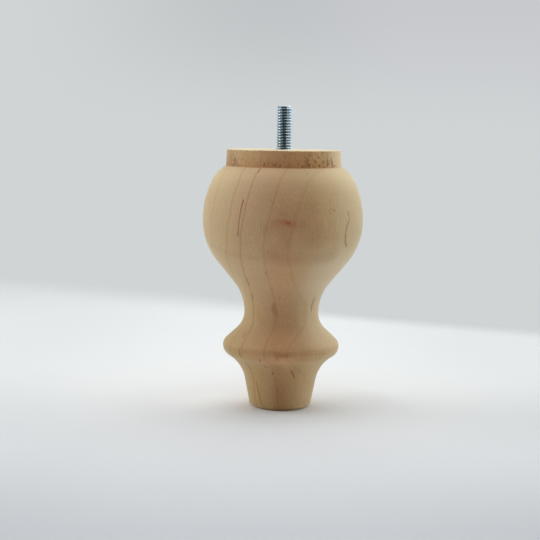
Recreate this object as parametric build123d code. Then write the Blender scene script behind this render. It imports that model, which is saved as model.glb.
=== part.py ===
"""A turned wooden furniture leg, held to the furniture by the hanger bolt in its top end.

Millimetres. Z runs up the leg's own axis, with the floor at z = 0 and the middle of
the foot on the origin. The outline is turned about Z, so every station below is a
radius and a height. A convex station (bulb, bead) and a concave one (neck) both stand
upright to the axis, and the curve between them is an arc, a straight run and an arc
that are all tangent. Two arcs too large for the room between them are brought down
together until they just touch.
"""
from build123d import *
from math import acos, atan2, cos, degrees, hypot, radians, sin, sqrt, tan
import os

# Leg
leg_height = 150.0          # floor to the face that meets the furniture
foot_diameter = 35.4        # at the floor, before its edge is sanded off
foot_taper = 11.1           # degrees from the axis, opening upward
foot_edge = 1.6             # sanded off the edge of the sole
foot_cove_radius = 22.1     # hollow between the foot and the bead
bead_diameter = 67.9
bead_height = 36.0          # height of the bead's widest line
bead_lower_radius = 6.3
bead_upper_radius = 5.4
neck_diameter = 43.3
neck_height = 55.5
neck_lower_radius = 13.3    # hollow on the bead's side
neck_upper_radius = 27.6    # hollow on the bulb's side
bulb_diameter = 93.0
bulb_drop = 40.8            # from the top face down to the bulb's widest line
bulb_lower_radius = 37.5
bulb_upper_radius = 52.8
shoulder_radius = 22.0      # the bulb's last curve, up to the collar
shoulder_ledge = 0.6        # how far the bulb stands out past the collar
collar_diameter = 66.9      # where it meets the bulb
collar_height = 9.8
collar_draft = 0.55         # the collar narrows by this, on the radius, to the top
rim_break = 0.3             # sharp edge taken off the top rim

# Hanger bolt, 3/8 inch
stud_diameter = 9.525       # over the machine thread and over the lag thread
stud_exposed = 25.0         # what stands out of the wood
stud_chamfer = 0.9
mouth_clearance = 0.6       # the hole's mouth is countersunk this much wider than the stud
blank_diameter = 8.49       # bare rod between the two threads
blank_length = 6.5
lag_length = 25.0           # threaded part of the wood end, over its crests
point_length = 7.0
point_flat = 0.8            # diameter left at the very tip
run_in = 1.0                # where the wood thread fades into the bare rod
pilot_diameter = 6.7        # drilled for the core of the wood thread
drill_allowance = 1.5       # how much deeper than the bolt the pilot hole goes
drill_half_angle = 59       # degrees, the point of an ordinary twist drill

shortest_edge = 0.001

leg_top = leg_height
collar_foot = leg_top - collar_height
bulb_height = leg_top - bulb_drop
blank_end = leg_top - blank_length
lag_end = blank_end - lag_length
point_end = lag_end - point_length


def s_curve(rise, step, outer_radius, inner_radius):
    """Radii and turning angle of the tangent curve between a convex and a concave station."""
    touching = (rise**2 + step**2) / (2 * step)
    shrink = min(1.0, touching / (outer_radius + inner_radius))
    both = (outer_radius + inner_radius) * shrink
    reach = hypot(rise, both - step)
    turn = atan2(rise, both - step) - acos(min(1.0, both / reach))
    run = sqrt(max(0.0, reach**2 - both**2))
    return outer_radius * shrink, inner_radius * shrink, degrees(turn), run


def foot_stations():
    """Turning angles of the bead's lower arc and the foot's hollow, and the ankle point."""
    lean = radians(foot_taper)
    bead_r = bead_diameter / 2 - bead_lower_radius
    foot_r = foot_diameter / 2
    aside = (bead_r - foot_r) * cos(lean) - bead_height * sin(lean)
    along = (bead_r - foot_r) * sin(lean) + bead_height * cos(lean)
    both = foot_cove_radius + bead_lower_radius
    across = foot_cove_radius - aside
    down = sqrt(max(0.0, both**2 - across**2))
    ankle = along - down
    ankle_point = (foot_r + ankle * sin(lean), ankle * cos(lean))
    tilt = degrees(atan2(down, across))
    return ankle_point, tilt, tilt + foot_taper


def bulb_stations():
    """Turning angles of the bulb's upper arc and of the shoulder arc above it."""
    centre_r = bulb_diameter / 2 - bulb_upper_radius
    end_r = collar_diameter / 2 + shoulder_ledge - centre_r
    end_z = collar_foot - bulb_height
    span = hypot(end_r, end_z)
    inner = bulb_upper_radius - shoulder_radius
    along = (inner**2 - shoulder_radius**2 + span**2) / (2 * span)
    aim = atan2(end_z, end_r)
    swing = acos(max(-1.0, min(1.0, along / inner)))
    first = aim - swing
    last = atan2(end_z - inner * sin(first), end_r - inner * cos(first))
    return degrees(first), degrees(last) - degrees(first)


def leg_outline():
    """Half section of the leg: from the middle of the foot, up the outside, to the top."""
    lean = radians(foot_taper)
    flat_r = foot_diameter / 2 - foot_edge
    edge_top = (foot_diameter / 2 + foot_edge * tan(lean), foot_edge)
    ankle_point, cove_turn, bead_turn = foot_stations()
    bead_arc, neck_low, low_turn, low_run = s_curve(
        neck_height - bead_height, (bead_diameter - neck_diameter) / 2,
        bead_upper_radius, neck_lower_radius)
    bulb_arc, neck_high, high_turn, high_run = s_curve(
        bulb_height - neck_height, (bulb_diameter - neck_diameter) / 2,
        bulb_lower_radius, neck_upper_radius)
    bulb_turn, shoulder_turn = bulb_stations()
    with BuildLine() as line:
        Polyline((0, 0), (flat_r, 0), edge_top)
        taper = Line(edge_top, ankle_point)
        hollow = JernArc(taper @ 1, taper % 1, foot_cove_radius, -cove_turn)
        swell = JernArc(hollow @ 1, hollow % 1, bead_lower_radius, bead_turn)
        crown = JernArc(swell @ 1, swell % 1, bead_arc, low_turn)
        slope = straight_on(crown, low_run)
        throat = JernArc(slope @ 1, slope % 1, neck_low, -low_turn)
        rise = JernArc(throat @ 1, throat % 1, neck_high, -high_turn)
        flank = straight_on(rise, high_run)
        belly = JernArc(flank @ 1, flank % 1, bulb_arc, high_turn)
        dome = JernArc(belly @ 1, belly % 1, bulb_upper_radius, bulb_turn)
        last = dome
        if radians(shoulder_turn) * shoulder_radius > shortest_edge:
            last = JernArc(dome @ 1, dome % 1, shoulder_radius, shoulder_turn)
        collar_r = collar_diameter / 2
        top_r = collar_r - collar_draft
        Polyline(
            last @ 1, (collar_r, collar_foot), (top_r, leg_top - rim_break),
            (top_r - rim_break, leg_top), (0, leg_top), (0, 0))
    return line.line


def straight_on(curve, length):
    """A straight run that carries on from the end of a curve, or none where two arcs touch."""
    if length < shortest_edge:
        return curve
    return Line(curve @ 1, curve @ 1 + curve % 1 * length)


def turned_blank():
    """The leg as it comes off the lathe."""
    with BuildPart() as blank:
        with BuildSketch(Plane.XZ):
            with BuildLine():
                add(leg_outline())
            make_face()
        revolve(axis=Axis.Z)
    return blank.part


def hanger_bolt():
    """One rod with a machine thread above, bare for a short way, and a wood thread with a point."""
    thread_r = stud_diameter / 2
    blank_r = blank_diameter / 2
    tip = leg_top + stud_exposed
    with BuildPart() as bolt:
        with BuildSketch(Plane.XZ):
            Polygon(
                (0, point_end), (point_flat / 2, point_end), (thread_r, lag_end),
                (thread_r, blank_end - run_in), (blank_r, blank_end),
                (blank_r, leg_top), (thread_r, leg_top),
                (thread_r, tip - stud_chamfer), (thread_r - stud_chamfer, tip), (0, tip), align=None)
        revolve(axis=Axis.Z)
    return bolt.part


def drilled_hole():
    """What is bored for the bolt: a countersunk mouth, and a pilot hole deeper than the bolt reaches."""
    drill_r = pilot_diameter / 2
    bottom = point_end - drill_allowance
    mouth_r = stud_diameter / 2 + mouth_clearance
    mouth_depth = mouth_r - blank_diameter / 2
    with BuildPart() as hole:
        with BuildSketch(Plane.XZ):
            Polygon(
                (0, bottom - drill_r / tan(radians(drill_half_angle))), (drill_r, bottom),
                (drill_r, leg_top - mouth_depth), (blank_diameter / 2, leg_top - mouth_depth),
                (mouth_r, leg_top), (0, leg_top), align=None)
        revolve(axis=Axis.Z)
    return hole.part


def turned_leg(bolt):
    """The leg, drilled from the top face, with the wood cut away where the bolt sits."""
    return turned_blank() - drilled_hole() - bolt


if __name__ == "__main__":
    os.makedirs("parts", exist_ok=True)
    bolt = hanger_bolt()
    leg = turned_leg(bolt)
    export_step(bolt, "parts/hanger_bolt.step")
    export_step(leg, "parts/turned_leg.step")
    print("hanger_bolt", round(bolt.volume, 1), "mm3", len(bolt.solids()), "solid")
    print("turned_leg", round(leg.volume, 1), "mm3", len(leg.solids()), "solid")
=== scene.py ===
from math import acos, atan2, ceil, cos, hypot, pi, radians, sin, sqrt, tan

import bpy
from mathutils import Matrix, Vector


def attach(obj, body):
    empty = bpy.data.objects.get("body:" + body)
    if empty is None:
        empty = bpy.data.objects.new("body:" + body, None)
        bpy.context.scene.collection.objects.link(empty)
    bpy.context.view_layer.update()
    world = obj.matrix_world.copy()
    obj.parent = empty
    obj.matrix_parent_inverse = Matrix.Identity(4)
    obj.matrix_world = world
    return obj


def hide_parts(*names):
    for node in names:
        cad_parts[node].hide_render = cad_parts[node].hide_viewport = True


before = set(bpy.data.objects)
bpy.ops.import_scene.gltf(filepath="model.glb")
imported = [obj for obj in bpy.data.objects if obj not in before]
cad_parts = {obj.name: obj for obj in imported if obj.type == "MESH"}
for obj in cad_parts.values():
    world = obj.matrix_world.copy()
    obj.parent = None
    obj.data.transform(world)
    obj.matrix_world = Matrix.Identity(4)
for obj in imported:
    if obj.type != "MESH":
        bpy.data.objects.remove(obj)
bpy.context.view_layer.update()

mm = 0.001


# Small helpers for building node trees

def colour(red, green, blue):
    # an ordinary 0-255 screen colour, made linear
    return tuple(((c / 255 + 0.055) / 1.055) ** 2.4 for c in (red, green, blue)) + (1,)


def feed(tree, node, inputs):
    # an input takes either another node's output or a plain value
    for key, value in inputs.items():
        if isinstance(value, bpy.types.NodeSocket):
            tree.links.new(value, node.inputs[key])
        else:
            node.inputs[key].default_value = value


def put(tree, kind, inputs=None, **settings):
    made = tree.nodes.new(kind)
    for name, value in settings.items():
        setattr(made, name, value)
    feed(tree, made, inputs or {})
    return made


def sums(tree, operation, *values, clamp=False):
    made = put(tree, "ShaderNodeMath", dict(enumerate(values)), operation=operation, use_clamp=clamp)
    return made.outputs[0]


def product(tree, first, *others):
    for other in others:
        first = sums(tree, "MULTIPLY", first, other)
    return first


def vectorSums(tree, operation, *values, out=0):
    made = put(tree, "ShaderNodeVectorMath", dict(enumerate(values)), operation=operation)
    return made.outputs[out]


def scaled(tree, vector, factor):
    made = put(tree, "ShaderNodeVectorMath", {0: vector, "Scale": factor}, operation="SCALE")
    return made.outputs[0]


def ramp(tree, value, fromMin, fromMax, toMin=0.0, toMax=1.0, kind="SMOOTHSTEP"):
    made = put(
        tree, "ShaderNodeMapRange",
        {"Value": value, "From Min": fromMin, "From Max": fromMax, "To Min": toMin, "To Max": toMax},
        interpolation_type=kind, clamp=True)
    return made.outputs["Result"]


def parts(tree, vector):
    return put(tree, "ShaderNodeSeparateXYZ", {0: vector}).outputs


def joined(tree, x=0.0, y=0.0, z=0.0):
    return put(tree, "ShaderNodeCombineXYZ", {0: x, 1: y, 2: z}).outputs[0]


def grey(tree, value):
    return joined(tree, value, value, value)


def noise(tree, vector, scale, detail=2.0, rough=0.5, out="Fac"):
    made = put(
        tree, "ShaderNodeTexNoise",
        {"Vector": vector, "Scale": scale, "Detail": detail, "Roughness": rough})
    return made.outputs[out]


def wobble(tree, vector, scale, detail, size):
    # noise about zero, from minus half the size to plus half
    return product(tree, sums(tree, "SUBTRACT", noise(tree, vector, scale, detail), 0.5), size)


def colourRamp(tree, value, stops, kind="LINEAR"):
    made = put(tree, "ShaderNodeValToRGB", {"Fac": value})
    made.color_ramp.interpolation = kind
    made.color_ramp.elements[0].position, made.color_ramp.elements[0].color = stops[0]
    made.color_ramp.elements[1].position, made.color_ramp.elements[1].color = stops[-1]
    for place, shade in stops[1:-1]:
        made.color_ramp.elements.new(place).color = shade
    return made.outputs["Color"]


def mixed(tree, share, first, second):
    # a colour mix node's sockets are found by number, because its names repeat
    made = put(
        tree, "ShaderNodeMix", {0: share, 6: first, 7: second}, data_type="RGBA", clamp_factor=True)
    return made.outputs[2]


def tinted(tree, share, base, tint):
    # the base colour, multiplied by the tint as far as the share says
    if not isinstance(tint, bpy.types.NodeSocket):
        tint = tint[:3]
    return mixed(tree, share, base, vectorSums(tree, "MULTIPLY", base, tint))


def newTree(name, kind, inputs, outputs):
    # inputs and outputs are (name, socket type, default or None)
    tree = bpy.data.node_groups.new(name, kind)
    for direction, sockets in (("INPUT", inputs), ("OUTPUT", outputs)):
        for label, socketType, default in sockets:
            made = tree.interface.new_socket(name=label, in_out=direction, socket_type=socketType)
            if default is not None:
                made.default_value = default
    return tree, tree.nodes.new("NodeGroupInput").outputs, tree.nodes.new("NodeGroupOutput")


def useGroup(tree, group, inputs):
    made = tree.nodes.new("GeometryNodeGroup" if tree.type == "GEOMETRY" else "ShaderNodeGroup")
    made.node_tree = group
    feed(tree, made, inputs)
    return made.outputs


def attribute(tree, name):
    return put(tree, "ShaderNodeAttribute", attribute_name=name).outputs["Fac"]


def newMaterial(name):
    material = bpy.data.materials.new(name)
    material.use_nodes = True
    material.node_tree.nodes.clear()
    return material, material.node_tree


def inMillimetres(tree):
    place = put(tree, "ShaderNodeTexCoord").outputs["Object"]
    return put(tree, "ShaderNodeMapping", {"Vector": place, "Scale": (1 / mm,) * 3}).outputs[0]


# The leg's outline, in millimetres: (radius, height)

leg = dict(
    height=150.0,
    footDiameter=35.4, footTaper=11.1, footEdge=1.6, footCoveRadius=22.1,
    beadDiameter=67.9, beadHeight=36.0, beadLowerRadius=6.3, beadUpperRadius=5.4,
    neckDiameter=43.3, neckHeight=55.5, neckLowerRadius=13.3, neckUpperRadius=27.6,
    bulbDiameter=93.0, bulbHeight=109.2, bulbLowerRadius=37.5, bulbUpperRadius=52.8,
    shoulderRadius=22.0, shoulderLedge=0.6,
    collarDiameter=66.9, collarHeight=9.8, collarDraft=0.55, rimBreak=0.3,
    stepsAround=512, curveStep=1.45, collarStep=0.34, faceStep=2.6, holeStep=14, rimBand=2.6,
    sharpAngle=32,
    toolMarkDepth=0.05, toolMarkScale=420.0,
    tornDepth=0.38, tornElsewhere=0.12, tornGrain=(1050.0, 380.0), tornStretch=0.55,
    tornPatches=(                             # degrees to the right of the front, half width, strength
        (40, 36, 1.0), (-56, 22, 0.85), (4, 34, 0.5), (118, 26, 0.5), (-140, 34, 0.9)),
    rimChipDepth=0.5, rimChipScale=480.0, rimChipReach=2.2,
)
bolt = dict(
    studDiameter=9.525, studLength=25.0, studChamfer=0.9, studPitch=1.5875,
    shankDiameter=8.49, shankLength=6.5,
    lagLength=25.0, lagPitch=3.63, lagCore=6.73, pointLength=7.0, tipDiameter=0.8,
    mouthClearance=0.6, pilotDiameter=6.7, drillAllowance=1.5, drillHalfAngle=59,
    studCrest=0.125, studRoot=0.75, studDepth=0.61343,   # shares of half a pitch, and of the pitch
    lagCrest=0.08, lagRoot=0.6, pointCore=0.12,
    studFade=0.6, lagFade=2.0, runIn=1.0,                # lengths over which the threads fade out
    stepsAround=144, stepsPerTurn=12, lagStepsPerTurn=14, faceStep=1.2, shankStep=1.0,
    sharpAngle=35,
)


def arcFrom(points, heading, radius, turn, step):
    # adds an arc that leaves the last point along heading, and gives its last heading
    r, z = points[-1]
    side = 1 if turn > 0 else -1
    centreR, centreZ = r - side * radius * sin(heading), z + side * radius * cos(heading)
    count = max(2, ceil(abs(turn) * radius / step))
    for i in range(1, count + 1):
        at = heading + turn * i / count
        points.append((centreR + side * radius * sin(at), centreZ - side * radius * cos(at)))
    return heading + turn


def lineTo(points, end, step):
    r, z = points[-1]
    count = max(1, ceil(hypot(end[0] - r, end[1] - z) / step))
    for i in range(1, count + 1):
        points.append((r + (end[0] - r) * i / count, z + (end[1] - z) * i / count))


def sCurve(rise, step, outer, inner):
    touching = (rise ** 2 + step ** 2) / (2 * step)
    shrink = min(1.0, touching / (outer + inner))
    both = (outer + inner) * shrink
    reach = hypot(rise, both - step)
    turn = atan2(rise, both - step) - acos(min(1.0, both / reach))
    return outer * shrink, inner * shrink, turn, sqrt(max(0.0, reach ** 2 - both ** 2))


def outsideOf(s):
    # from the middle of the foot up to the collar's foot
    lean, footR = radians(s["footTaper"]), s["footDiameter"] / 2
    beadR = s["beadDiameter"] / 2 - s["beadLowerRadius"]
    aside = (beadR - footR) * cos(lean) - s["beadHeight"] * sin(lean)
    along = (beadR - footR) * sin(lean) + s["beadHeight"] * cos(lean)
    both, across = s["footCoveRadius"] + s["beadLowerRadius"], s["footCoveRadius"] - aside
    down = sqrt(max(0.0, both ** 2 - across ** 2))
    ankle, tilt = along - down, atan2(down, across)

    step = s["curveStep"]
    points = [(0.0, 0.0)]
    lineTo(points, (footR - s["footEdge"], 0), 3 * step)
    lineTo(points, (footR + s["footEdge"] * tan(lean), s["footEdge"]), step / 2)
    lineTo(points, (footR + ankle * sin(lean), ankle * cos(lean)), step)
    heading = pi / 2 - lean
    heading = arcFrom(points, heading, s["footCoveRadius"], -tilt, step)
    heading = arcFrom(points, heading, s["beadLowerRadius"], tilt + lean, step / 1.5)

    upper, lower, turn, run = sCurve(
        s["neckHeight"] - s["beadHeight"], (s["beadDiameter"] - s["neckDiameter"]) / 2,
        s["beadUpperRadius"], s["neckLowerRadius"])
    heading = arcFrom(points, heading, upper, turn, step / 1.5)
    lineTo(points, (points[-1][0] + run * cos(heading), points[-1][1] + run * sin(heading)), step)
    heading = arcFrom(points, heading, lower, -turn, step)

    belly, throat, turn, run = sCurve(
        s["bulbHeight"] - s["neckHeight"], (s["bulbDiameter"] - s["neckDiameter"]) / 2,
        s["bulbLowerRadius"], s["neckUpperRadius"])
    heading = arcFrom(points, heading, throat, -turn, step)
    lineTo(points, (points[-1][0] + run * cos(heading), points[-1][1] + run * sin(heading)), step)
    heading = arcFrom(points, heading, belly, turn, step)

    centreR = s["bulbDiameter"] / 2 - s["bulbUpperRadius"]
    endR = s["collarDiameter"] / 2 + s["shoulderLedge"] - centreR
    endZ = s["height"] - s["collarHeight"] - s["bulbHeight"]
    inner, span = s["bulbUpperRadius"] - s["shoulderRadius"], hypot(endR, endZ)
    reach = (inner ** 2 - s["shoulderRadius"] ** 2 + span ** 2) / (2 * span)
    first = atan2(endZ, endR) - acos(reach / inner)
    last = atan2(endZ - inner * sin(first), endR - inner * cos(first))
    heading = arcFrom(points, heading, s["bulbUpperRadius"], first, step)
    arcFrom(points, heading, s["shoulderRadius"], last - first, step / 1.5)
    return points


def wholeOutline(s, b):
    # from the bottom of the drilled hole, up and over the top face, and down to the foot
    top, studR, shankR = s["height"], b["studDiameter"] / 2, b["shankDiameter"] / 2
    mouthR, drillR = studR + b["mouthClearance"], b["pilotDiameter"] / 2
    shankEnd = top - b["shankLength"]
    lagEnd = shankEnd - b["lagLength"]
    pointEnd = lagEnd - b["pointLength"]
    drillEnd = pointEnd - b["drillAllowance"]
    meets = lagEnd - b["pointLength"] * (studR - drillR) / (studR - b["tipDiameter"] / 2)
    collarR, collarFoot = s["collarDiameter"] / 2, top - s["collarHeight"]
    topR = collarR - s["collarDraft"]
    points = [(0.0, drillEnd - drillR / tan(radians(b["drillHalfAngle"])))]
    for corner in (
            (drillR, drillEnd), (drillR, meets), (studR, lagEnd), (studR, shankEnd - b["runIn"]),
            (shankR, shankEnd), (shankR, top - mouthR + shankR), (mouthR, top)):
        lineTo(points, corner, s["holeStep"])
    lineTo(points, (topR - s["rimBand"], top), s["faceStep"])
    lineTo(points, (topR - s["rimBreak"], top), s["collarStep"])
    lineTo(points, (topR, top - s["rimBreak"]), s["collarStep"])
    lineTo(points, (collarR, collarFoot), s["collarStep"])
    return points + outsideOf(s)[::-1]


def lineObject(name, points):
    mesh = bpy.data.meshes.new(name)
    mesh.from_pydata(
        [(r * mm, 0, z * mm) for r, z in points], [(i, i + 1) for i in range(len(points) - 1)], [])
    made = bpy.data.objects.new(name, mesh)
    bpy.context.scene.collection.objects.link(made)
    return made


# Geometry Nodes: a section turned about the Z axis into one closed skin

def turnedSkin(tree, given):
    # a sphere's rings take their radius and height from the outline's points, top pole first
    sphere = put(
        tree, "GeometryNodeMeshUVSphere",
        {"Segments": given["Steps Around"], "Rings": given["Steps Along"], "Radius": 1.0})
    index = put(tree, "GeometryNodeInputIndex").outputs[0]
    counted = sums(tree, "ADD", index, sums(tree, "SUBTRACT", given["Steps Around"], 1))
    ring = sums(tree, "FLOOR", sums(tree, "DIVIDE", counted, given["Steps Around"]))
    section = put(tree, "GeometryNodeObjectInfo", {"Object": given["Outline"]})
    place = put(tree, "GeometryNodeInputPosition").outputs[0]
    sampled = put(
        tree, "GeometryNodeSampleIndex", {"Geometry": section.outputs["Geometry"]},
        data_type="FLOAT_VECTOR", domain="POINT")
    tree.links.new(place, sampled.inputs["Value"])
    tree.links.new(ring, sampled.inputs["Index"])
    radius, _, height = parts(tree, sampled.outputs[0])
    x, y, _ = parts(tree, place)
    angle = sums(tree, "ARCTAN2", y, x)
    around = joined(tree, sums(tree, "COSINE", angle), sums(tree, "SINE", angle))
    moved = vectorSums(tree, "ADD", scaled(tree, around, radius), joined(tree, z=height))
    turned = put(
        tree, "GeometryNodeSetPosition", {"Geometry": sphere.outputs[0], "Position": moved})
    return turned.outputs[0]


def finishTree(tree, geometry, material, out):
    smooth = put(tree, "GeometryNodeSetShadeSmooth", {"Geometry": geometry})
    real = put(tree, "GeometryNodeRealizeInstances", {"Geometry": smooth.outputs[0]})
    dressed = put(
        tree, "GeometryNodeSetMaterial", {"Geometry": real.outputs[0], "Material": material})
    tree.links.new(dressed.outputs[0], out.inputs[0])


def newShapeTree(name, distances):
    return newTree(
        name, "GeometryNodeTree",
        [("Outline", "NodeSocketObject", None), ("Steps Around", "NodeSocketInt", 64),
         ("Steps Along", "NodeSocketInt", 64)]
        + [(label, "NodeSocketFloat", value) for label, value in distances]
        + [("Finish", "NodeSocketMaterial", None)],
        [("Geometry", "NodeSocketGeometry", None)])


def fromAxis(tree):
    # each point's place, its distance from the Z axis and the way that leads straight away from it
    place = put(tree, "GeometryNodeInputPosition").outputs[0]
    x, y, _ = parts(tree, place)
    flat = joined(tree, x, y)
    return place, vectorSums(tree, "LENGTH", flat, out="Value"), vectorSums(tree, "NORMALIZE", flat)


def stored(tree, geometry, name, value):
    made = put(
        tree, "GeometryNodeStoreNamedAttribute", {"Geometry": geometry, "Name": name, "Value": value},
        data_type="FLOAT", domain="POINT")
    return made.outputs[0]


def turnedLegTree():
    tree, given, out = newShapeTree("turnedWoodenLeg", (
        ("Leg Top", 0.15), ("Collar Foot", 0.14), ("Collar Radius", 0.033),
        ("Tool Mark Depth", 0.0), ("Torn Depth", 0.0), ("Rim Chip Depth", 0.0)))
    skin = turnedSkin(tree, given)
    place, radius, outward = fromAxis(tree)
    x, y, z = parts(tree, place)

    # faint rings left by the gouge, not inside the hole
    outside = ramp(tree, radius, 8 * mm, 10 * mm)
    ring = noise(tree, joined(tree, z=z), leg["toolMarkScale"], 3.0, 0.6)
    toolMarks = product(tree, ring, given["Tool Mark Depth"], outside)

    # torn grain on the collar, deepest in a few patches round it
    above = sums(tree, "SUBTRACT", z, given["Collar Foot"])
    onCollar = product(
        tree, ramp(tree, above, 0.1 * mm, 0.5 * mm), ramp(tree, radius, 30 * mm, 31.5 * mm))
    bearing = sums(tree, "ARCTAN2", x, sums(tree, "MULTIPLY", y, -1))
    patchy = leg["tornElsewhere"]
    for centre, halfWidth, strength in leg["tornPatches"]:
        turned = sums(tree, "ABSOLUTE", sums(tree, "SUBTRACT", bearing, radians(centre)))
        away = sums(tree, "PINGPONG", turned, pi)
        lobe = ramp(tree, away, radians(halfWidth), radians(halfWidth * 0.3), 0.0, strength)
        patchy = sums(tree, "MAXIMUM", patchy, lobe)
    fineGrain, coarseGrain = leg["tornGrain"]
    stretched = vectorSums(tree, "MULTIPLY", place, (1.0, 1.0, leg["tornStretch"]))
    fibres = noise(tree, stretched, fineGrain, 3.0, 0.7)
    coarse = noise(tree, stretched, coarseGrain, 2.0, 0.5)
    pits = ramp(tree, sums(tree, "ADD", fibres, sums(tree, "MULTIPLY", coarse, 0.6)), 0.75, 0.95)
    lower = ramp(tree, above, 8.5 * mm, 1.5 * mm, 0.35, 1.0)
    torn = product(tree, pits, patchy, onCollar, lower)
    tearing = sums(tree, "MULTIPLY", torn, given["Torn Depth"])

    # chips and fuzz along the sawn top rim
    fromRim = sums(tree, "SUBTRACT", given["Collar Radius"], radius)
    fromTop = sums(tree, "SUBTRACT", given["Leg Top"], z)
    atRim = product(
        tree, ramp(tree, fromRim, leg["rimChipReach"] * mm, 0.6 * mm),
        ramp(tree, fromTop, 1.0 * mm, 0.2 * mm))
    fuzz = ramp(tree, noise(tree, place, leg["rimChipScale"], 3.0, 0.75), 0.42, 0.68)
    chips = product(tree, fuzz, atRim, given["Rim Chip Depth"])

    inward = sums(tree, "MULTIPLY", sums(tree, "ADD", toolMarks, tearing), -1.0)
    offset = vectorSums(
        tree, "ADD", scaled(tree, outward, inward),
        joined(tree, z=sums(tree, "MULTIPLY", chips, -1.0)))
    near = wandering(tree, scaled(tree, place, 1 / mm))
    marked = stored(tree, skin, "torn", torn)
    # smudges, with painted shade on the bead's band and the middle of the foot
    marked = stored(tree, marked, "smudge", marksMask(tree, near, smudgesAndShade, softCore))
    marked = stored(tree, marked, "rust", marksMask(tree, near, rustSpots, softCore))
    carved = put(tree, "GeometryNodeSetPosition", {"Geometry": marked, "Offset": offset})
    finishTree(tree, carved.outputs[0], given["Finish"], out)
    return tree


def hangerBoltTree():
    tree, given, out = newShapeTree("hangerBolt", (
        ("Leg Top", 0.15), ("Shank End", 0.14), ("Point End", 0.11), ("Thread Radius", 0.004),
        ("Stud Pitch", 0.0015), ("Lag Pitch", 0.0036), ("Lag Core Radius", 0.003),
        ("Point Length", 0.007)))
    skin = turnedSkin(tree, given)
    place, radius, outward = fromAxis(tree)
    x, y, z = parts(tree, place)
    turns = sums(tree, "DIVIDE", sums(tree, "ARCTAN2", y, x), 2 * pi)

    def fromCrest(pitch):
        # 0 on a right-hand thread's crest line, 1 half a pitch away
        phase = sums(tree, "FRACT", sums(tree, "SUBTRACT", sums(tree, "DIVIDE", z, pitch), turns))
        return sums(tree, "ABSOLUTE", sums(tree, "SUBTRACT", sums(tree, "MULTIPLY", phase, 2.0), 1.0))

    # machine thread: 60 degree flanks, crests an eighth and roots a quarter of the pitch wide
    studCut = ramp(
        tree, fromCrest(given["Stud Pitch"]), bolt["studCrest"], bolt["studRoot"], kind="LINEAR")
    studDepth = sums(tree, "MULTIPLY", given["Stud Pitch"], bolt["studDepth"])
    onStud = ramp(tree, sums(tree, "SUBTRACT", z, given["Leg Top"]), 0.0, bolt["studFade"] * mm)
    studR = sums(tree, "SUBTRACT", given["Thread Radius"], product(tree, studCut, studDepth, onStud))

    # wood thread: thin crests, wide hollow roots, and a core that runs to a point
    lagCut = ramp(tree, fromCrest(given["Lag Pitch"]), bolt["lagCrest"], bolt["lagRoot"])
    fromTip = sums(tree, "SUBTRACT", z, given["Point End"])
    toPoint = ramp(tree, fromTip, 0.0, given["Point Length"], bolt["pointCore"], 1.0, "LINEAR")
    coreR = sums(tree, "MULTIPLY", given["Lag Core Radius"], toPoint)
    lagDepth = sums(tree, "SUBTRACT", given["Thread Radius"], coreR)
    onLag = ramp(tree, sums(tree, "SUBTRACT", given["Shank End"], z), 0.0, bolt["lagFade"] * mm)
    lagR = sums(tree, "SUBTRACT", given["Thread Radius"], product(tree, lagCut, lagDepth, onLag))

    cutR = sums(tree, "MINIMUM", studR, lagR)
    newR = sums(tree, "MINIMUM", radius, cutR)
    groove = sums(tree, "DIVIDE", sums(tree, "SUBTRACT", radius, newR), 1.0 * mm, clamp=True)
    marked = stored(tree, skin, "groove", groove)
    moved = vectorSums(tree, "ADD", scaled(tree, outward, newR), joined(tree, z=z))
    rolled = put(tree, "GeometryNodeSetPosition", {"Geometry": marked, "Position": moved})
    finishTree(tree, rolled.outputs[0], given["Finish"], out)
    return tree


def pieceFromTree(name, points, tree, values, sharpAngle):
    # the tree runs on an empty mesh, and its result becomes that object's own mesh
    outline = lineObject(name + "Outline", points)
    piece = bpy.data.objects.new(name, bpy.data.meshes.new(name))
    bpy.context.scene.collection.objects.link(piece)
    modifier = piece.modifiers.new("shape", "NODES")
    modifier.node_group = tree
    values = dict(values, Outline=outline)
    values["Steps Along"] = len(points) - 1
    for item in tree.interface.items_tree:
        if item.item_type == "SOCKET" and item.in_out == "INPUT":
            modifier[item.identifier] = values[item.name]
    bpy.context.view_layer.update()
    evaluated = piece.evaluated_get(bpy.context.evaluated_depsgraph_get())
    mesh = bpy.data.meshes.new_from_object(evaluated)
    piece.modifiers.clear()
    mesh.name = name
    piece.data = mesh
    bpy.data.objects.remove(outline)
    mesh.set_sharp_from_angle(angle=radians(sharpAngle))
    print(name, len(mesh.polygons), "faces")
    return piece


# Shader groups

def speckleGroup():
    # value near 1 that varies over the surface, for colour and for roughness
    tree, given, out = newTree(
        "surfaceSpeckle", "ShaderNodeTree",
        [("Vector", "NodeSocketVector", None), ("Size", "NodeSocketFloat", 1.0),
         ("Contrast", "NodeSocketFloat", 0.1)],
        [("Value", "NodeSocketFloat", None)])
    scale = sums(tree, "DIVIDE", 1.0, given["Size"])
    value = noise(tree, given["Vector"], scale, 3.0, 0.6)
    spread = product(tree, sums(tree, "SUBTRACT", value, 0.5), given["Contrast"], 2.0)
    tree.links.new(sums(tree, "ADD", spread, 1.0), out.inputs["Value"])
    return tree


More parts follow.
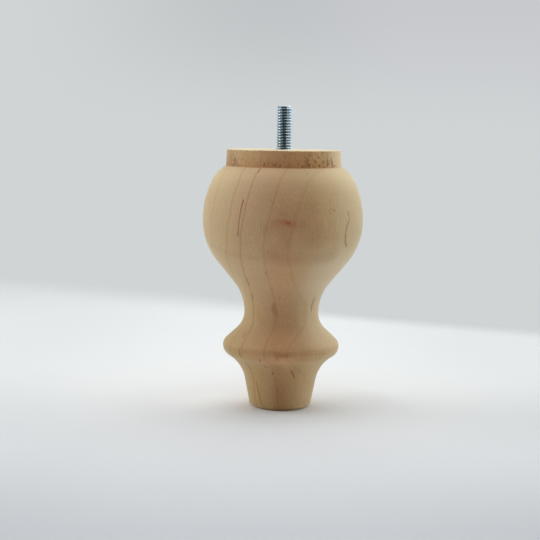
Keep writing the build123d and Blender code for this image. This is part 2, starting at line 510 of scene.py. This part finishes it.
def strokeGroup(kind):
    # a soft-edged mark along the straight way between two points, as wide at each as its input says
    tree, given, out = newTree(
        "strokeMark", kind,
        [("Vector", "NodeSocketVector", None), ("From", "NodeSocketVector", None),
         ("To", "NodeSocketVector", None), ("From Width", "NodeSocketFloat", 1.0),
         ("To Width", "NodeSocketFloat", 1.0), ("Core", "NodeSocketFloat", 0.3)],
        [("Mask", "NodeSocketFloat", None)])
    along = vectorSums(tree, "SUBTRACT", given["To"], given["From"])
    toHere = vectorSums(tree, "SUBTRACT", given["Vector"], given["From"])
    share = sums(
        tree, "DIVIDE", vectorSums(tree, "DOT_PRODUCT", toHere, along, out="Value"),
        vectorSums(tree, "DOT_PRODUCT", along, along, out="Value"), clamp=True)
    nearest = scaled(tree, along, share)
    away = vectorSums(tree, "LENGTH", vectorSums(tree, "SUBTRACT", toHere, nearest), out="Value")
    width = ramp(tree, share, 0.0, 1.0, given["From Width"], given["To Width"], "LINEAR")
    mask = ramp(tree, away, width, sums(tree, "MULTIPLY", width, given["Core"]))
    tree.links.new(mask, out.inputs["Mask"])
    return tree


speckle = speckleGroup()
strokeInShader = strokeGroup("ShaderNodeTree")
strokeInShape = strokeGroup("GeometryNodeTree")


def speckled(tree, vector, size, contrast):
    return useGroup(tree, speckle, {"Vector": vector, "Size": size, "Contrast": contrast})["Value"]


# Bare wood

wood = dict(
    growthLines=((-43, 0.12), (-30, 0.22), (-15.5, 0.32), (-5.8, 0.42), (8.8, 0.26), (21, 0.16)),
    lineFade=1.5, lineEdge=0.35,              # how wide a growth line is on its soft and its crisp side
    slant=0.6, drift=12.8, driftFrom=64.0, driftTo=138.0, wave=4.0, ripple=0.9,
    tonesAndEdgeLight=(                                   # from the leg's left edge to its right edge: wood tone, with painted shade darker just right of the middle and a painted highlight paler at the right edge
        (0.12, colour(206, 174, 128)), (0.29, colour(210, 172, 130)), (0.5, colour(206, 161, 117)),
        (0.67, colour(198, 158, 110)), (0.8, colour(205, 172, 123)), (0.87, colour(208, 181, 136))),
    lowTints=(                                # what the neck, bead and foot are multiplied by
        (0.0, colour(233, 226, 205)), (0.18, colour(241, 233, 213)), (0.4, colour(248, 240, 226)),
        (0.54, colour(253, 248, 237)), (0.66, colour(254, 251, 247)), (0.98, colour(252, 247, 243))),
    lowFade=(84.0, 34.0),                     # heights that a tint sets in at and is whole at
    fibres=(0.9, 0.1), fineFibres=(0.45, 0.18), grain=(0.75, 0.14), clouds=(17.0, 0.06),  # size, contrast
    # painted top light where the bulb rounds over under the collar
    shoulder=colour(228, 203, 156), shoulderFade=(121.0, 137.0),
    shoulderSides=(0.5, 0.95), shoulderShares=(0.33, 0.63),
    # painted light bounced up from the floor, under the bulb on the right
    undersideBounce=colour(226, 204, 172), undersideBounceFade=(104.0, 86.0), undersideBounceNeck=(58.0, 76.0),
    undersideBounceBead=(36.0, 44.0), undersideBounceSides=(0.5, 0.86), undersideBounceShare=0.6,
    # painted shade in the middle of the foot, under the bead
    footShade=colour(240, 245, 242), footShadeFade=(32.0, 27.0), footShadeSides=(0.7, 0.25),
    lineTint=colour(204, 160, 122), linesOnCollar=0.45,
    collarLow=colour(250, 229, 211), collarHigh=colour(255, 246, 230),
    collarLeft=colour(228, 222, 212), collarLeftFade=(0.11, 0.03),
    # a painted highlight at the collar's right end
    collarRightHighlight=colour(250, 226, 184), collarRightHighlightFade=(0.84, 0.97), collarRightHighlightShare=0.5,
    # torn grain's own darker colour, with painted shade in its pits
    sawnGrain=(0.5, 0.3), tornTintAndShade=colour(152, 95, 51), tornShare=0.9,
    fleck=colour(150, 80, 42), rust=colour(184, 104, 57), smudge=colour(206, 172, 148),
    latheShadeLines=(                              # painted shade of lathe grooves too fine for the mesh, and of the band round the bead's widest line: height, half width, strength
        (37.4, 0.4, 0.14), (36.0, 2.4, 0.15), (83.0, 0.4, 0.06), (80.8, 0.4, 0.05),
        (78.6, 0.5, 0.08), (126.5, 0.5, 0.06)),
    endGrain=colour(236, 214, 172), endPores=(0.5, 0.12),
    roughness=0.62, sheen=(2.5, 0.06), bumpDepth=0.08,
)
fleckCore = 0.35      # how much of a mark's width is at full strength
softCore = 0.0

# marks on the front, each as (strength, places), a place being (bearing, height, half width):
# degrees to the right of the front, and millimetres
flecks = (
    (0.72, ((-29.8, 122.6, 0.7), (-30.7, 118.0, 0.6), (-31.4, 113.3, 0.5), (-32.1, 107.5, 0.5),
            (-32.9, 103.0, 0.6))),
    (0.6, ((51.8, 116.5, 0.65), (52.5, 112.0, 0.65), (49.4, 108.0, 0.75), (48.7, 103.8, 0.85),
           (50.4, 99.4, 1.05), (53.7, 96.7, 0.75))),
    (0.7, ((37.2, 117.9, 0.6), (37.5, 117.6, 0.6))),
    (0.3, ((35.7, 119.1, 0.4), (32.9, 117.6, 0.45), (34.4, 116.0, 0.4))),
    (0.3, ((45.9, 113.9, 0.5), (45.9, 113.4, 0.5))),
    (0.4, ((-65.1, 95.9, 0.5), (-64.5, 95.6, 0.5))),
    (0.3, ((-54.0, 96.3, 0.5), (-53.8, 95.9, 0.5))),
    (0.75, ((-23.1, 137.7, 0.5), (-22.8, 139.0, 0.5), (-21.1, 139.8, 0.35))),
    (0.85, ((-19.3, 142.8, 0.5), (-19.9, 141.1, 0.55))),
    (0.6, ((26.2, 143.1, 0.4), (23.5, 141.4, 0.6))),
    (0.5, ((19.7, 137.7, 0.5), (19.9, 137.2, 0.5))),
    (0.45, ((17.8, 133.2, 0.45), (17.8, 132.8, 0.45))),
    (0.7, ((-39.2, 78.1, 0.35), (-40.8, 73.7, 0.5))),
    (0.7, ((-43.2, 68.1, 0.5), (-44.3, 65.0, 0.5))),
    (0.6, ((-15.4, 82.3, 0.55), (-15.3, 81.6, 0.5))),
    (0.4, ((-12.7, 72.2, 0.5), (-12.4, 71.6, 0.5))),
    (0.5, ((-2.6, 67.3, 0.5), (-2.7, 66.4, 0.5))),
    (0.7, ((-50.2, 45.6, 0.4), (-49.2, 43.3, 0.55))),
    (0.9, ((-45.1, 37.2, 0.5), (-44.2, 34.9, 0.5), (-44.0, 32.5, 0.55))),
    (0.75, ((-21.2, 32.6, 0.5), (-21.7, 31.2, 0.65))),
    (0.75, ((-20.6, 27.9, 0.65), (-17.0, 26.9, 0.4))),
    (0.7, ((-47.6, 27.6, 0.45), (-45.6, 24.3, 0.6))),
    (0.8, ((-11.3, 24.1, 0.5), (-11.4, 22.5, 0.75))),
    (0.8, ((13.7, 24.9, 0.85), (17.6, 22.6, 0.7), (22.3, 19.6, 0.3))),
    (0.65, ((-41.4, 16.5, 0.5), (-39.3, 10.0, 0.75), (-34.6, 2.0, 0.35))),
    (0.45, ((2.0, 111.2, 0.45), (3.6, 110.8, 0.45))),
)
# smudges, and painted shade along the bead's widest band and down the middle of the foot
smudgesAndShade = (
    (0.22, ((45.8, 139.0, 0.8), (34.6, 123.0, 0.8), (33.4, 109.3, 0.8), (31.1, 101.0, 0.8),
            (33.0, 89.4, 0.7))),
    (0.25, ((-12.0, 108.3, 5.0), (15.0, 107.8, 5.0))),
    (0.17, ((11.0, 113.0, 14.0), (24.0, 103.0, 14.0))),
    (0.25, ((2.0, 117.0, 7.0), (2.5, 99.0, 6.0))),
    (0.4, ((-6.0, 110.8, 4.5), (13.0, 110.3, 5.5))),
    (0.4, ((-8.0, 92.0, 8.0), (40.0, 92.0, 8.0))),
    (0.22, ((-66.0, 95.0, 4.5), (-40.0, 92.0, 3.5), (-20.0, 91.0, 3.0))),
    (0.65, ((-11.4, 63.1, 1.4), (-12.4, 59.5, 2.7), (-9.4, 57.2, 1.8))),
    (0.85, ((53.2, 65.2, 1.4), (50.9, 61.7, 1.8), (51.9, 58.1, 1.1))),
    (0.55, ((-6.0, 37.2, 1.5), (-4.0, 33.5, 2.0))),
    (0.65, ((-4.0, 35.6, 2.2), (6.0, 35.3, 2.0))),
    (0.3, ((6.0, 36.0, 2.0), (46.0, 35.2, 1.8))),
    (0.16, ((-40.0, 36.2, 1.3), (-10.0, 36.4, 1.3))),
    (0.25, ((-12.8, 31.3, 2.0), (2.9, 17.9, 3.0))),
    (0.4, ((-3.3, 8.1, 1.0), (-1.4, 4.4, 0.8))),
    (0.34, ((-4.0, 28.0, 6.0), (0.0, 18.0, 7.0))),
    (0.5, ((0.0, 14.0, 7.0), (0.0, 2.0, 7.0))),
)
rustSpots = (
    (0.95, ((1.0, 111.4, 1.9), (4.0, 110.7, 2.2))),
    (0.5, ((-3.5, 111.6, 1.1), (1.0, 111.4, 1.7))),
    (0.35, ((4.6, 110.6, 1.2), (7.5, 110.3, 0.6))),
    (0.3, ((-5.0, 36.0, 1.6), (3.0, 35.4, 1.6))),
)


def onSurface(bearing, height):
    # the outside of the leg at that bearing and height
    outside = outsideOf(leg) + [(leg["collarDiameter"] / 2, leg["height"] - leg["collarHeight"]),
                                (leg["collarDiameter"] / 2 - leg["collarDraft"], leg["height"])]
    for (r1, z1), (r2, z2) in zip(outside, outside[1:]):
        if z1 <= height <= z2 and z2 > z1:
            r = r1 + (r2 - r1) * (height - z1) / (z2 - z1)
            break
    angle = radians(bearing)
    return r * sin(angle), -r * cos(angle), height


def wandering(tree, place):
    # moved about a little, so that the marks' edges aren't straight
    wander = vectorSums(tree, "SUBTRACT", noise(tree, place, 1.3, 2.0, out="Color"), (0.5, 0.5, 0.5))
    return vectorSums(tree, "ADD", place, scaled(tree, wander, 0.7))


def marksMask(tree, place, marks, core):
    stroke = strokeInShape if tree.type == "GEOMETRY" else strokeInShader
    total = 0.0
    for strength, places in marks:
        for start, end in zip(places, places[1:]):
            mask = useGroup(tree, stroke, {
                "Vector": place, "From": onSurface(*start[:2]), "To": onSurface(*end[:2]),
                "From Width": start[2], "To Width": end[2], "Core": core})["Mask"]
            total = sums(tree, "MAXIMUM", total, sums(tree, "MULTIPLY", mask, strength))
    return total


def growthLines(tree, place, x, y, z, wave):
    # how strong a growth line is here; the lines lean in plan and drift to the right higher up
    drift = ramp(tree, z, wood["driftFrom"], wood["driftTo"], 0.0, wood["drift"])
    across = sums(tree, "SUBTRACT", x, sums(tree, "MULTIPLY", y, wood["slant"]))
    across = sums(tree, "SUBTRACT", across, drift)
    ripple = wobble(tree, place, 0.25, 2.0, wood["ripple"])
    across = sums(tree, "ADD", across, sums(tree, "ADD", wave, ripple))
    across = sums(tree, "DIVIDE", across, hypot(1, wood["slant"]))
    span, black = 100, (0, 0, 0, 1)          # the ramp is 100 mm wide, with its middle on the axis
    share = sums(tree, "ADD", sums(tree, "DIVIDE", across, span), 0.5)
    stops = [(0.0, black)]
    for at, strength in wood["growthLines"]:
        stops.append(((at - wood["lineFade"]) / span + 0.5, black))
        stops.append((at / span + 0.5, (strength, strength, strength, 1)))
        stops.append(((at + wood["lineEdge"]) / span + 0.5, black))
    stops.append((1.0, black))
    return colourRamp(tree, share, stops)


def bareWood():
    material, tree = newMaterial("bareWood")
    place = inMillimetres(tree)
    x, y, z = parts(tree, place)
    top = leg["height"]
    collarFoot = top - leg["collarHeight"]
    wave = wobble(tree, place, 0.045, 1.0, wood["wave"])
    lines = growthLines(tree, place, x, y, z, wave)

    # broad colour bands up the leg, each at its own bearing: 0 at the left edge, 1 at the right; wood
    # tone, with painted shade darker just right of the middle and a painted highlight paler at the right
    # edge
    radius = vectorSums(tree, "LENGTH", joined(tree, x, y, 1.0), out="Value")
    sideways = sums(tree, "ADD", sums(tree, "DIVIDE", x, radius), sums(tree, "MULTIPLY", wave, 0.03))
    acrossLeg = sums(tree, "ADD", sums(tree, "MULTIPLY", sideways, 0.5), 0.5)
    toneAndEdgeLight = colourRamp(tree, acrossLeg, wood["tonesAndEdgeLight"], "EASE")

    # long faint fibres and soft clouds
    alongGrain = vectorSums(tree, "MULTIPLY", place, (1.0, 1.0, 0.05))
    value = product(
        tree, speckled(tree, alongGrain, *wood["fibres"]), speckled(tree, alongGrain, *wood["fineFibres"]),
        speckled(tree, place, *wood["grain"]), speckled(tree, place, *wood["clouds"]))
    base = vectorSums(tree, "MULTIPLY", toneAndEdgeLight, grey(tree, value))
    lowTint = colourRamp(tree, acrossLeg, wood["lowTints"], "EASE")
    base = tinted(tree, ramp(tree, z, *wood["lowFade"]), base, lowTint)

    # painted top light, paler where the bulb rounds over under the collar, and painted light from the
    # floor under the bulb on the right
    collar = ramp(tree, z, collarFoot - 0.1, collarFoot + 0.15)
    shoulderShare = ramp(tree, acrossLeg, *wood["shoulderSides"], *wood["shoulderShares"])
    shoulder = ramp(tree, z, *wood["shoulderFade"], 0.0, shoulderShare)
    base = mixed(tree, ramp(tree, collar, 0.0, 1.0, shoulder, 0.0), base, wood["shoulder"])
    # painted light bounced up from the floor
    undersideBounce = product(
        tree, ramp(tree, z, *wood["undersideBounceFade"]),
        ramp(tree, z, *wood["undersideBounceNeck"], 0.35, 1.0), ramp(tree, z, *wood["undersideBounceBead"]),
        ramp(tree, acrossLeg, *wood["undersideBounceSides"], 0.0, wood["undersideBounceShare"]))
    base = mixed(tree, undersideBounce, base, wood["undersideBounce"])

    # painted shade in the middle of the foot, under the bead
    fromMiddle = sums(tree, "ABSOLUTE", sideways)
    footShaded = product(
        tree, ramp(tree, z, *wood["footShadeFade"]), ramp(tree, fromMiddle, *wood["footShadeSides"]))
    base = tinted(tree, footShaded, base, wood["footShade"])

    fadedLines = product(tree, lines, ramp(tree, collar, 0.0, 1.0, 1.0, wood["linesOnCollar"]))
    base = tinted(tree, fadedLines, base, wood["lineTint"])
    # painted shade of fine lathe grooves and of the bead's band
    for height, width, strength in wood["latheShadeLines"]:
        beside = sums(tree, "ABSOLUTE", sums(tree, "SUBTRACT", z, height))
        base = tinted(tree, ramp(tree, beside, width, 0.1, 0.0, strength), base, wood["lineTint"])

    # collar: rougher and redder, darker at its left end, with a painted highlight at its right end, and
    # torn grain
    collarTint = mixed(tree, ramp(tree, z, top - 9.0, top - 2.0), wood["collarLow"], wood["collarHigh"])
    sawn = speckled(tree, place, *wood["sawnGrain"])
    base = tinted(tree, collar, base, vectorSums(tree, "MULTIPLY", collarTint, grey(tree, sawn)))
    atLeft = product(tree, collar, ramp(tree, acrossLeg, *wood["collarLeftFade"]))
    base = tinted(tree, atLeft, base, wood["collarLeft"])
    rightHighlightEnd = ramp(tree, acrossLeg, *wood["collarRightHighlightFade"], 0.0, wood["collarRightHighlightShare"])
    rightHighlight = product(tree, collar, rightHighlightEnd)
    base = mixed(tree, rightHighlight, base, wood["collarRightHighlight"])
    shreds = noise(tree, vectorSums(tree, "MULTIPLY", place, (1.0, 1.0, 0.6)), 1.5)
    # torn grain's darker colour, with painted shade in its pits
    torn = product(
        tree, ramp(tree, attribute(tree, "torn"), 0.05, 0.55, 0.0, wood["tornShare"]),
        ramp(tree, shreds, 0.38, 0.58, 0.3, 1.0))
    base = mixed(tree, torn, base, wood["tornTintAndShade"])

    # sawn top
    pores = speckled(tree, place, *wood["endPores"])
    endColour = vectorSums(tree, "MULTIPLY", wood["endGrain"][:3], grey(tree, pores))
    endColour = tinted(tree, lines, endColour, wood["lineTint"])
    base = mixed(tree, ramp(tree, z, top - 0.5, top - 0.25), base, endColour)

    # flecks, smudges, painted shade on the bead's band and down the middle of the foot, and a pin knot;
    # the soft marks come from the shape's own attributes
    mottleAndLight = ramp(tree, noise(tree, place, 0.9, 2.0), 0.3, 0.7, 0.6, 1.0)
    fleck = marksMask(tree, wandering(tree, place), flecks, fleckCore)
    base = tinted(tree, product(tree, attribute(tree, "smudge"), mottleAndLight), base, wood["smudge"])
    base = mixed(tree, attribute(tree, "rust"), base, wood["rust"])
    base = mixed(tree, fleck, base, wood["fleck"])

    rough = product(tree, speckled(tree, place, *wood["sheen"]), wood["roughness"])
    grooves = noise(tree, alongGrain, 2.2, 3.0, 0.6)
    bump = put(tree, "ShaderNodeBump", {
        "Height": grooves, "Strength": 0.25, "Distance": wood["bumpDepth"] * mm})
    shader = put(tree, "ShaderNodeBsdfPrincipled", {
        "Base Color": base, "Roughness": rough, "Normal": bump.outputs[0], "Specular IOR Level": 0.35,
        "Sheen Weight": 0.4, "Sheen Roughness": 0.45, "Sheen Tint": colour(240, 245, 220)})
    put(tree, "ShaderNodeOutputMaterial", {"Surface": shader.outputs[0]})
    return material


# Zinc plated steel

zinc = dict(
    # the root colour is painted shade in the thread roots
    crest=colour(212, 221, 229), root=colour(100, 118, 130), tint=colour(188, 213, 221),
    tintShare=0.4, rootShadeFade=(0.35, 1.0),
    patches=(1.6, 0.35), grain=(0.25, 0.25),  # size, contrast
    roughness=0.13, bumpDepth=0.02,
)


def zincPlate():
    material, tree = newMaterial("zincPlatedSteel")
    place = inMillimetres(tree)
    patchy = speckled(tree, place, *zinc["patches"])
    base = mixed(tree, product(tree, patchy, zinc["tintShare"]), zinc["crest"], zinc["tint"])
    # painted shade in the thread roots
    inRootShade = ramp(tree, attribute(tree, "groove"), *zinc["rootShadeFade"])
    base = mixed(tree, inRootShade, base, zinc["root"])
    fine = speckled(tree, place, *zinc["grain"])
    rough = product(tree, fine, zinc["roughness"])
    bump = put(tree, "ShaderNodeBump", {
        "Height": fine, "Strength": 0.15, "Distance": zinc["bumpDepth"] * mm})
    shader = put(tree, "ShaderNodeBsdfPrincipled", {
        "Base Color": base, "Roughness": rough, "Normal": bump.outputs[0], "Metallic": 1.0})
    put(tree, "ShaderNodeOutputMaterial", {"Surface": shader.outputs[0]})
    return material


print("wood and zinc finishes")
woodFinish = bareWood()
zincFinish = zincPlate()


# The two pieces

def makeLeg():
    piece = pieceFromTree("turnedLeg", wholeOutline(leg, bolt), turnedLegTree(), {
        "Steps Around": leg["stepsAround"],
        "Leg Top": leg["height"] * mm,
        "Collar Foot": (leg["height"] - leg["collarHeight"]) * mm,
        "Collar Radius": (leg["collarDiameter"] / 2 - leg["collarDraft"]) * mm,
        "Tool Mark Depth": leg["toolMarkDepth"] * mm,
        "Torn Depth": leg["tornDepth"] * mm,
        "Rim Chip Depth": leg["rimChipDepth"] * mm,
        "Finish": woodFinish}, leg["sharpAngle"])
    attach(piece, "root")
    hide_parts("turned_leg")


def boltOutline(b):
    top, threadR, shankR = leg["height"], b["studDiameter"] / 2, b["shankDiameter"] / 2
    tip, shankEnd = top + b["studLength"], top - b["shankLength"]
    lagEnd = shankEnd - b["lagLength"]
    pointEnd = lagEnd - b["pointLength"]
    fine, coarse = b["studPitch"] / b["stepsPerTurn"], b["lagPitch"] / b["lagStepsPerTurn"]
    points = [(0.0, tip)]
    lineTo(points, (threadR - b["studChamfer"], tip), b["faceStep"])
    lineTo(points, (threadR, tip - b["studChamfer"]), fine)
    lineTo(points, (threadR, top), fine)
    lineTo(points, (shankR, top), fine)
    lineTo(points, (shankR, shankEnd), b["shankStep"])
    lineTo(points, (threadR, shankEnd - b["runIn"]), coarse)
    lineTo(points, (threadR, lagEnd), coarse)
    lineTo(points, (b["tipDiameter"] / 2, pointEnd), coarse)
    points.append((0.0, pointEnd))
    return points


def makeBolt():
    shankEnd = leg["height"] - bolt["shankLength"]
    piece = pieceFromTree("hangerBolt", boltOutline(bolt), hangerBoltTree(), {
        "Steps Around": bolt["stepsAround"],
        "Leg Top": leg["height"] * mm,
        "Shank End": shankEnd * mm,
        "Point End": (shankEnd - bolt["lagLength"] - bolt["pointLength"]) * mm,
        "Thread Radius": bolt["studDiameter"] / 2 * mm,
        "Stud Pitch": bolt["studPitch"] * mm,
        "Lag Pitch": bolt["lagPitch"] * mm,
        "Lag Core Radius": bolt["lagCore"] / 2 * mm,
        "Point Length": bolt["pointLength"] * mm,
        "Finish": zincFinish}, bolt["sharpAngle"])
    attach(piece, "root")
    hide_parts("hanger_bolt")


makeLeg()
makeBolt()

# Floor, backdrop and light

studio = dict(
    floorSize=12.0, backdropLow=colour(208, 212, 213),
    backdropTop=(                             # from the left side of the view to the right
        (0.06, colour(208, 212, 213)), (0.5, colour(194, 197, 199)), (0.75, colour(200, 201, 205))),
    floorStops=(                              # millimetres behind the leg; painted shade darker towards the camera
        (-260, colour(203, 207, 211)), (-90, colour(226, 229, 231)), (60, colour(230, 233, 233)),
        (300, colour(227, 230, 231))),
    floorMottle=(60.0, 0.012),                # size, contrast
    # painted shade darker towards the left and right, a painted pool of light left of the foot and painted
    # shadow right of it
    leftDim=0.915, leftDimFrom=-40, leftDimTo=-190,
    rightDim=0.925, rightDimFrom=20, rightDimTo=170,
    lightAndShadowBesideFoot=(((-37, 3, 0), 1.1), ((42, 14, 0), 0.95)), lightAndShadowReach=(45.0, 6.0),
    edgeStart=(270, 308), edgeWidth=(150, 55), edgeBetween=(-120, 70), edgeLean=0.5,
    edgeAround=(380, 800),
    backdropRise=(-0.01, 0.105), backdropSides=(-0.25, 0.25),
    air=colour(247, 249, 251), frontFill=0.22, backFill=0.5, fillTurn=(-0.5, 0.7),
    darkAside=-0.06, darkWidth=0.68, darkEdge=(0.04, 0.11), sidesTurn=(-0.2, 0.2),
    frontInMetal=0.11, leftInMetal=0.95, rightInMetal=1.7, behindInMetal=0.25, aboveInMetal=1.1,
    behindFade=(0.45, 0.85), aboveFade=(0.93, 0.985), skylineFade=(0.8, 0.95), skylineRise=(0.02, 0.12),
    softboxes=dict(
        leftSoftbox=dict(place=(-0.88, 0.15, 0.50), aim=(0, 0, 0.09), size=(0.7, 0.7), power=3.55),
        rightSoftbox=dict(place=(0.85, 0.36, 0.60), aim=(0, 0, 0.09), size=(1.2, 1.0), power=4.3),
        topSoftbox=dict(
            place=(0.0, -0.15, 1.25), aim=(0, 0, 0), size=(1.3, 1.0), power=5.3, inMetal=False),
        backSoftbox=dict(
            place=(0.0, 0.70, 0.95), aim=(0, 0, 0), size=(1.2, 0.5), power=3.7, inMetal=False)),
)


def addFloor():
    half = studio["floorSize"] / 2
    mesh = bpy.data.meshes.new("floor")
    mesh.from_pydata(
        [(-half, -half, 0), (half, -half, 0), (half, half, 0), (-half, half, 0)], [], [(0, 1, 2, 3)])
    floor = bpy.data.objects.new("floor", mesh)
    bpy.context.scene.collection.objects.link(floor)
    material, tree = newMaterial("paleFloor")
    place = inMillimetres(tree)
    x, y, _ = parts(tree, place)
    # the paper's colour, with painted shade darker towards the camera
    nearest, farthest = studio["floorStops"][0][0], studio["floorStops"][-1][0]
    shade = colourRamp(
        tree, ramp(tree, y, nearest, farthest, kind="LINEAR"),
        [((at - nearest) / (farthest - nearest), shade) for at, shade in studio["floorStops"]], "EASE")
    # paper mottle, with painted shade towards the sides and painted light and shadow beside the foot
    mottleAndLight = product(
        tree, speckled(tree, place, *studio["floorMottle"]),
        ramp(tree, x, studio["leftDimTo"], studio["leftDimFrom"], studio["leftDim"], 1.0),
        ramp(tree, x, studio["rightDimFrom"], studio["rightDimTo"], 1.0, studio["rightDim"]))
    for spot, strength in studio["lightAndShadowBesideFoot"]:
        beside = vectorSums(tree, "LENGTH", vectorSums(tree, "SUBTRACT", place, spot), out="Value")
        mottleAndLight = product(tree, mottleAndLight, ramp(tree, beside, *studio["lightAndShadowReach"], 1.0, strength))
    shade = vectorSums(tree, "MULTIPLY", shade, grey(tree, mottleAndLight))
    paper = put(tree, "ShaderNodeBsdfPrincipled", {
        "Base Color": shade, "Roughness": 0.9, "Specular IOR Level": 0.1})

    # past a slanting soft line, and far off on every side, the camera sees the backdrop's own colour
    slanted = sums(tree, "ADD", y, sums(tree, "MULTIPLY", x, studio["edgeLean"]))
    away = sums(tree, "DIVIDE", slanted, hypot(1, studio["edgeLean"]))
    starts = ramp(tree, x, *studio["edgeBetween"], *studio["edgeStart"])
    width = ramp(tree, x, *studio["edgeBetween"], *studio["edgeWidth"])
    fade = ramp(tree, away, starts, sums(tree, "ADD", starts, width))
    distance = vectorSums(tree, "LENGTH", place, out="Value")
    fade = sums(tree, "MAXIMUM", fade, ramp(tree, distance, *studio["edgeAround"]))
    seen = put(tree, "ShaderNodeLightPath").outputs["Is Camera Ray"]
    glow = put(tree, "ShaderNodeEmission", {"Color": studio["backdropLow"], "Strength": 1.0})
    blend = put(tree, "ShaderNodeMixShader", {
        0: product(tree, fade, seen), 1: paper.outputs[0], 2: glow.outputs[0]})
    put(tree, "ShaderNodeOutputMaterial", {"Surface": blend.outputs[0]})
    mesh.materials.append(material)


def addSoftbox(name, place, aim, size, power, inMetal=True):
    lamp = bpy.data.lights.new(name, "AREA")
    lamp.shape = "RECTANGLE"
    lamp.size, lamp.size_y = size
    lamp.energy = power
    made = bpy.data.objects.new(name, lamp)
    made.location = place
    made.rotation_euler = (Vector(aim) - Vector(place)).to_track_quat("-Z", "Y").to_euler()
    made.visible_glossy = inMetal
    bpy.context.scene.collection.objects.link(made)


def metalSurroundings(tree, aside, towardsBack, upwards):
    # bright walls at both sides, dark ones in front and straight behind, and a dull ceiling
    ahead = sums(tree, "MAXIMUM", sums(tree, "MULTIPLY", towardsBack, -1.0), 0.0)
    sideways = sums(tree, "ABSOLUTE", sums(tree, "SUBTRACT", aside, studio["darkAside"]))
    fromMiddle = sums(tree, "SUBTRACT", sideways, product(tree, ahead, studio["darkWidth"]))
    sides = ramp(tree, aside, *studio["sidesTurn"], studio["leftInMetal"], studio["rightInMetal"])
    walls = product(
        tree, ramp(tree, fromMiddle, *studio["darkEdge"], studio["frontInMetal"], sides),
        ramp(tree, towardsBack, *studio["behindFade"], 1.0, studio["behindInMetal"]))
    ceiling = ramp(tree, upwards, *studio["aboveFade"], 0.0, studio["aboveInMetal"])
    skyline = product(
        tree, ramp(tree, towardsBack, *studio["skylineFade"]), ramp(tree, upwards, *studio["skylineRise"]))
    return sums(tree, "MAXIMUM", sums(tree, "MAXIMUM", walls, ceiling), skyline)


def addWorld():
    # soft light, stronger from behind, but metal and the camera each see a room of their own
    world = bpy.data.worlds.new("studio")
    world.use_nodes = True
    bpy.context.scene.world = world
    tree = world.node_tree
    tree.nodes.clear()
    aside, towardsBack, upwards = parts(tree, put(tree, "ShaderNodeTexCoord").outputs["Generated"])
    light = put(tree, "ShaderNodeLightPath").outputs
    soft = ramp(tree, towardsBack, *studio["fillTurn"], studio["frontFill"], studio["backFill"])
    mirrored = metalSurroundings(tree, aside, towardsBack, upwards)
    strength = put(tree, "ShaderNodeMix", {0: light["Is Glossy Ray"], 2: soft, 3: mirrored}).outputs[0]
    room = put(tree, "ShaderNodeBackground", {"Color": studio["air"], "Strength": strength})
    acrossView = ramp(tree, aside, *studio["backdropSides"], kind="LINEAR")
    top = colourRamp(tree, acrossView, studio["backdropTop"], "EASE")
    wall = mixed(tree, ramp(tree, upwards, *studio["backdropRise"]), studio["backdropLow"], top)
    backdrop = put(tree, "ShaderNodeBackground", {"Color": wall, "Strength": 1.0})
    blend = put(tree, "ShaderNodeMixShader", {
        0: light["Is Camera Ray"], 1: room.outputs[0], 2: backdrop.outputs[0]})
    put(tree, "ShaderNodeOutputWorld", {"Surface": blend.outputs[0]})


print("floor, backdrop and light")
addFloor()
addWorld()
for name, softbox in studio["softboxes"].items():
    addSoftbox(name, **softbox)

# Camera at the photograph's viewing angle

view = dict(
    place=(-0.0070, -0.7178, 0.1615), pitch=0.1132, roll=0.0156,   # metres, radians
    lens=82.5, sensorWidth=36.0,
)


def addCamera():
    data = bpy.data.cameras.new("camera")
    data.sensor_width = view["sensorWidth"]
    data.lens = view["lens"]
    camera = bpy.data.objects.new("camera", data)
    tilt = Matrix.Rotation(pi / 2 - view["pitch"], 4, "X") @ Matrix.Rotation(view["roll"], 4, "Z")
    camera.matrix_world = Matrix.Translation(view["place"]) @ tilt
    bpy.context.scene.collection.objects.link(camera)
    bpy.context.scene.camera = camera


addCamera()
bpy.context.scene.view_settings.view_transform = "Standard"
